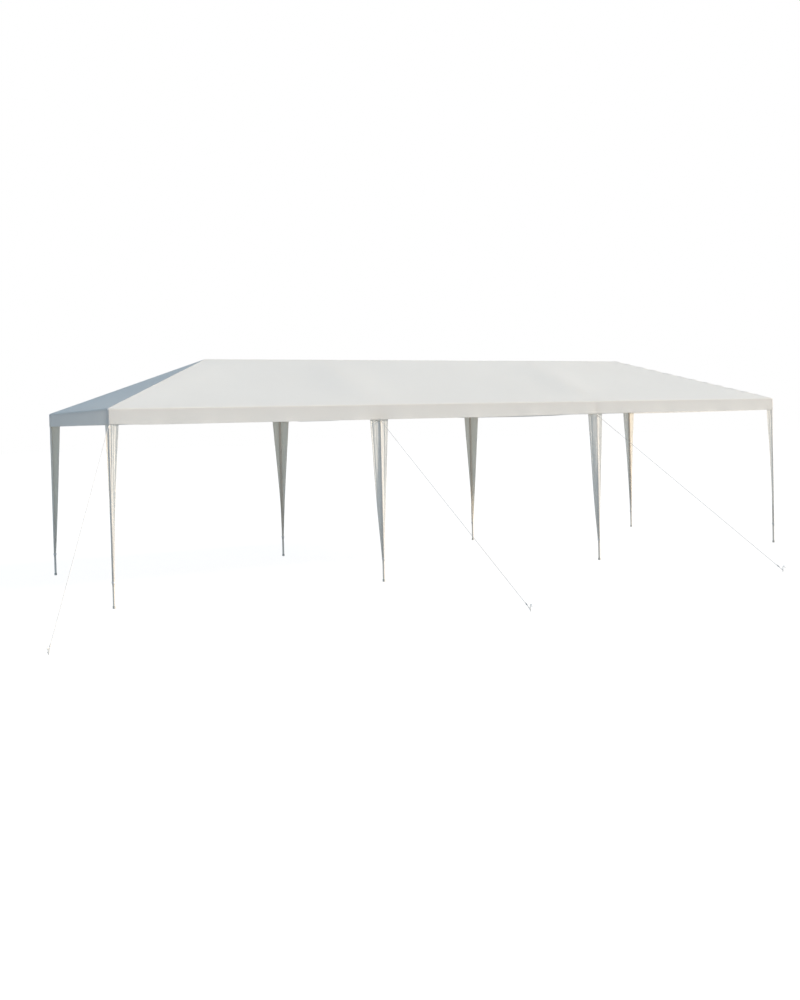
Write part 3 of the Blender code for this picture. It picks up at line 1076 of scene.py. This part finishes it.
zinc = Finish("peg_steel")
spangle = zinc.node("ShaderNodeTexVoronoi", inputs={"Vector": zinc.place, "Scale": 260.0})
zinc.surface(
    Base_Color=zinc.mix(spangle, (0.82, 0.81, 0.78, 1), (0.93, 0.92, 0.89, 1)),
    Metallic=0.4,
    Roughness=0.30 + 0.25 * spangle,
)

finishes = {"leg": leg_finish, "connector": socket_finish, "peg": zinc.made}
for name, node in nodes.items():
    if node.hide_render:
        continue
    node.data.materials.clear()
    node.data.materials.append(finishes.get(name.split("_")[0], tube_finish))
print("steel nodes:", sum(not node.hide_render for node in nodes.values()))

# %% [markdown]
# ## Guy ropes and pegs
# Each rope is taut from its leg to its peg, so it is a straight laid rope of three strands. It
# comes out of a small metal eyelet in the skirt, just under the valance, and ends in a loop round
# the peg, closed by a few turns of cord. A peg is a round rod with its top bent over.

# %% Rope fibre and the peg's path
ROPE_TOP_Z = 1.816
ROPE_LOW_Z = 0.020
ROPE_RADIUS = 0.0025
LOOP_LENGTH = 0.055
CORD_RADIUS = 0.0009
CORD_PITCH = 0.0030
PEG_RADIUS = 0.004
PEG_SHANK = 0.056
PEG_BEND = 0.012
PEG_TIP = 0.010
PEG_PLACES = {
    1: Vector((-0.995, -1.960, 0)),
    2: Vector((3.2417, -2.569, 0)),
    3: Vector((6.9897, -2.127, 0)),
}

fibre = Finish("rope_fibre")
fuzz = fibre.noise(900.0, 3.0)
fibre.surface(
    Base_Color=fibre.mix(fuzz, grey(0.59, 0.03), grey(0.69, 0.03)),
    Roughness=0.75 + 0.15 * fuzz,
    Normal=fibre.bump(fuzz, 0.4, 0.0004),
)


def hooked(peg, outward):
    """Points up a peg and round its hook, which bends over on the side away from the leg."""
    points = [peg, peg + Z * PEG_SHANK]
    for k in range(1, 25):
        angle = math.pi * k / 24
        over = outward * PEG_BEND * (1 - math.cos(angle))
        points.append(peg + over + Z * (PEG_SHANK + PEG_BEND * math.sin(angle)))
    return points + [points[-1] - Z * PEG_TIP]


print("pegs at", [[round(v, 3) for v in peg.xy] for peg in PEG_PLACES.values()])


# %% Paths of a rope and its bindings
def coil(start, ahead, side, turns, narrow, wide):
    """Points of a few turns of cord round a line. narrow is how far they reach to its side and
    wide how far across that."""
    other = ahead.cross(side)
    points = []
    for k in range(turns * 12 + 1):
        angle = 2 * math.pi * k / 12
        round_it = side * narrow * math.cos(angle) + other * wide * math.sin(angle)
        points.append(start + ahead * (CORD_PITCH * k / 12) + round_it)
    return points


def rope_path(top, target, down, sideways):
    """Points down the rope, round its peg and back to where the binding holds it."""
    reach = PEG_RADIUS + ROPE_RADIUS + 0.0003
    split = target - down * LOOP_LENGTH
    straight = [top.lerp(split, k / 60) for k in range(61)]
    apart = [(split.lerp(target, k / 8), sideways * reach * ease(k / 8)) for k in range(1, 8)]
    round_peg = []
    for k in range(13):
        angle = math.pi / 2 - math.pi * k / 12
        round_peg.append(target + (sideways * math.sin(angle) + down * math.cos(angle)) * reach)
    there = [point + out for point, out in apart]
    back = [point - out for point, out in reversed(apart)]
    return straight + there + round_peg + back


# %% Ropes, bindings and pegs
ropes, bindings, pegs, eyelets = {}, {}, {}, []
for line, peg in PEG_PLACES.items():
    leg = foot_of("front", line)
    away = (peg - leg).normalized()
    rod = rod_tree.run(f"hooked_peg_{line}", [hooked(peg, away)], zinc.made, Radius=PEG_RADIUS)
    rod.data.set_sharp_from_angle(angle=math.radians(50))
    pegs[line] = rod
    eyelets.append((leg, away))

    top = leg + away * (SKIRT_RADIUS - 0.0004) + Z * ROPE_TOP_Z
    target = peg + Z * ROPE_LOW_Z
    down = (target - top).normalized()
    sideways = down.cross(Z).normalized()
    lift = sideways.cross(down)
    split = target - down * LOOP_LENGTH
    tail = [split + lift * (2 * ROPE_RADIUS) - down * 0.012 * k for k in range(4)]
    path = rope_path(top, target, down, sideways) + tail
    rope = rope_tree.run(f"rope_{line}", [path], fibre.made)

    bound = split - down * 0.022 + lift * ROPE_RADIUS
    near, far = ROPE_RADIUS + CORD_RADIUS, 2 * ROPE_RADIUS + CORD_RADIUS
    knots = [
        coil(bound, down, sideways, 6, near, far),
        coil(top + down * 0.008, down, sideways, 4, near, near),
    ]
    thin = {"Strand": CORD_RADIUS, "Offset": 0.0007, "Pitch": 0.010, "Step": 0.002}
    ropes[line] = rope
    bindings[line] = rope_tree.run(f"rope_knots_{line}", knots, fibre.made, **thin)
    long = round((target - top).length, 3)
    print("rope", line, "length", long, "m,", triangles(rope), "triangles")


# %% Eyelets
def build_eyelets():
    """Rings that lie on the skirts, one where each rope comes out."""
    section = [(0.0036, -0.0006), (0.0036, 0.0010), (0.0048, 0.0017), (0.0062, 0.0013),
               (0.0072, 0.0002), (0.0072, -0.0006)]
    around = 28
    points, faces = [], []
    for leg, away in eyelets:
        across = Vector((-away.y, away.x, 0))
        start = len(points)
        for k in range(around):
            angle = 2 * math.pi * k / around
            for radius, rise in section:
                bend = radius * math.cos(angle) / SKIRT_RADIUS
                out = away * math.cos(bend) + across * math.sin(bend)
                z = ROPE_TOP_Z + radius * math.sin(angle)
                points.append(leg + out * (SKIRT_RADIUS + rise) + Z * z)
            faces.extend(wall(start + 6 * k, start + 6 * ((k + 1) % around), 6))
    return points, faces


rope_eyelets = closed_piece("rope_eyelets", *build_eyelets(), zinc.made, sharp=0)
print("eyelets:", triangles(rope_eyelets), "triangles")

# %% [markdown]
# ## Small parts
# The skirts' side hems are stitched, each skirt is tied to its leg near the bottom, and straps on
# the inside hold the cover to the eave tubes. A strap or tie is flat webbing in a closed band, so
# it is a small section carried round the tube.

# %% Skirt stitches, straps and ties
skirt_stitches = stitch_tree.run("skirt_stitches", skirt_hems, thread.made)
print("stitch rows on skirts:", len(skirt_hems), "triangles", triangles(skirt_stitches))

END_GAP = 0.75
STRAP_WIDTH = 0.025
TIE_WIDTH = 0.016
TIE_Z = SKIRT_BOTTOM + 0.030

strap_places = []
bay_middles = [(a + b) / 2 for a, b in zip(LEG_X, LEG_X[1:])]
for x in (LEG_X[0] + END_GAP, *bay_middles, LEG_X[3] - END_GAP):
    for side in SIDES:
        pole = middle(f"eave_pole_{side}_1")
        strap_places.append((Vector((x, LEG_Y[side], pole.z)), X))
for end in ("left", "right"):
    pole = middle(f"eave_pole_{end}_end")
    for y in (END_GAP, pole.y, LEG_Y["back"] - END_GAP):
        strap_places.append((Vector((pole.x, y, pole.z)), Y))
tie_places = [(Vector((x, y, TIE_Z)), Z) for x in LEG_X for y in LEG_Y.values()]


def build_bands(places, inner, outer, width):
    """Closed bands round the tubes that pass through the places, each in its direction."""
    section = [(-width / 2, inner), (-width / 2, outer), (width / 2, outer), (width / 2, inner)]
    around = 32
    points, faces = [], []
    for place, along in places:
        across = along.orthogonal().normalized()
        other = along.cross(across)
        start = len(points)
        for k in range(around):
            angle = 2 * math.pi * k / around
            out = across * math.cos(angle) + other * math.sin(angle)
            points.extend(place + along * reach + out * radius for reach, radius in section)
            faces.extend(wall(start + 4 * k, start + 4 * ((k + 1) % around), 4))
    return points, faces


strap_mesh = build_bands(strap_places, TUBE_RADIUS + 0.0003, TUBE_RADIUS + 0.0014, STRAP_WIDTH)
tie_mesh = build_bands(tie_places, SKIRT_RADIUS + 0.0030, SKIRT_RADIUS + 0.0042, TIE_WIDTH)
cover_straps = closed_piece("cover_straps", *strap_mesh, thread.made)
skirt_ties = closed_piece("skirt_ties", *tie_mesh, thread.made)
print("straps:", len(strap_places), "ties:", len(tie_places))

# %% [markdown]
# ## Hand the pieces to the frame
# Everything rides on the one body. The cover and the skirts stand for their plain solids, which
# are hidden, as are those of the ropes and the pegs.

# %% Ride and replace
slots = {
    "cover_sheet": [cover, cover_seams, cover_stitches, cover_straps],
    "drape_sheet": [*skirts.values(), skirt_stitches, skirt_ties],
    "rope_fibre": [*ropes.values(), *bindings.values()],
    "peg_steel": [*pegs.values(), rope_eyelets],
}
for finish_slot, pieces in slots.items():
    for piece in pieces:
        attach(piece, "root")
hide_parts("canopy_front", "canopy_back", "canopy_left_end", "canopy_right_end")

for (side, line), skirt in skirts.items():
    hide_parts(f"drape_{side}_{line}")

for line in PEG_PLACES:
    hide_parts(f"guy_rope_{line}")
    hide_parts(f"peg_{line}")
